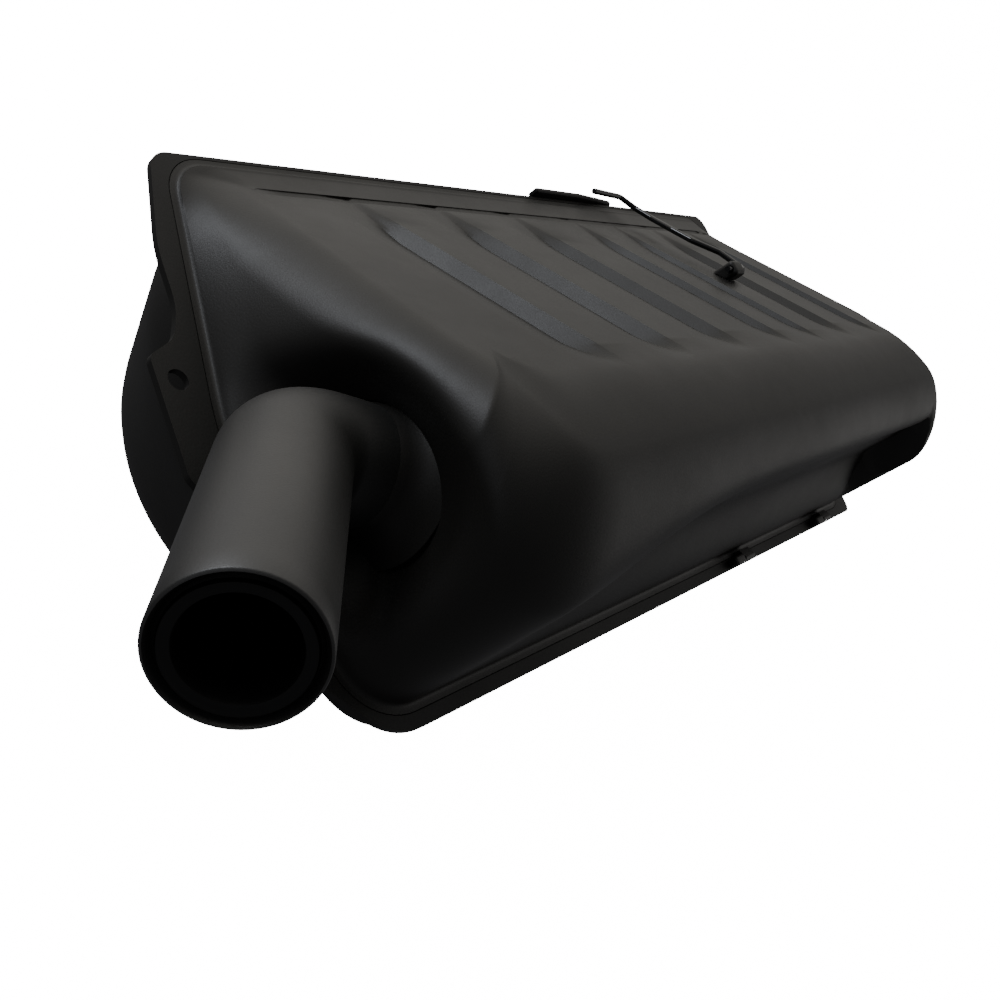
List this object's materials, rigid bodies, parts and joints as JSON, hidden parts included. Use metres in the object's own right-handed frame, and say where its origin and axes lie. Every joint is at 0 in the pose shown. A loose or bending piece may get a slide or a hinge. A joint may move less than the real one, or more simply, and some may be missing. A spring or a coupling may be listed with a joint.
{
  "type": "air filter housing",
  "caption": "Long wedge-shaped air filter housing with a ribbed hinged cover, an elbow inlet tube, a wire latch, a panel filter and a round-ended rear case.",
  "frame": {"origin": "centre of the footprint at the level of the outlet gasket and the feet, housing lying on its back", "axes": "+X along the housing from the inlet tube to the far end, +Y from the hinge edge to the latch edge, +Z out of the flange towards the cover"},
  "size_m": [0.5246, 0.2096, 0.1881],
  "materials": {
    "cover": "satin, very fine grain",
    "intake_tube": "satin, very fine grain, faint draw marks along the tube",
    "mouth_insert": "flat",
    "seal": "matt",
    "case": "satin, very fine grain",
    "hinge": "satin",
    "steel_pin": "satin",
    "filter_rim": "matt, soft moulded",
    "filter_paper": "pleated",
    "filter_grid": "satin",
    "screw": "satin",
    "wire": "gloss black",
    "foot": "matt"
  },
  "bodies": {
    "case": {"rear_case": "case", "latch_catch": "case", "hinge_base_1": "hinge", "hinge_base_2": "hinge", "hinge_pin_1": "steel_pin", "hinge_pin_2": "steel_pin", "filter_rim": "filter_rim", "filter_pleats": "filter_paper", "filter_grid": "filter_grid", "outlet_collar": "case", "outlet_gasket": "seal", "collar_screw_1": "screw", "collar_screw_2": "screw", "collar_screw_3": "screw", "collar_screw_4": "screw", "drain_valve": "seal", "rubber_foot_1": "foot", "rubber_foot_2": "foot"},
    "cover": {"cover_shell": "cover", "intake_elbow": "intake_tube", "mouth_sleeve": "mouth_insert", "elbow_seal": "seal", "latch_saddle": "cover", "hinge_leaf_1": "hinge", "hinge_leaf_2": "hinge"},
    "latch": {"wire_latch": "wire"}
  },
  "joints": [
    {"name": "cover_hinge", "type": "hinge", "parent": "case", "child": "cover", "pos_m": [0.15676, -0.1022, 0.106], "axis": [1, 0, 0], "range_deg": [0, 85]},
    {"name": "latch_pivot", "type": "hinge", "parent": "cover", "child": "latch", "pos_m": [0.14675, 0.0317, 0.1495], "axis": [1, 0, 0], "range_deg": [0, 120]}
  ]
}
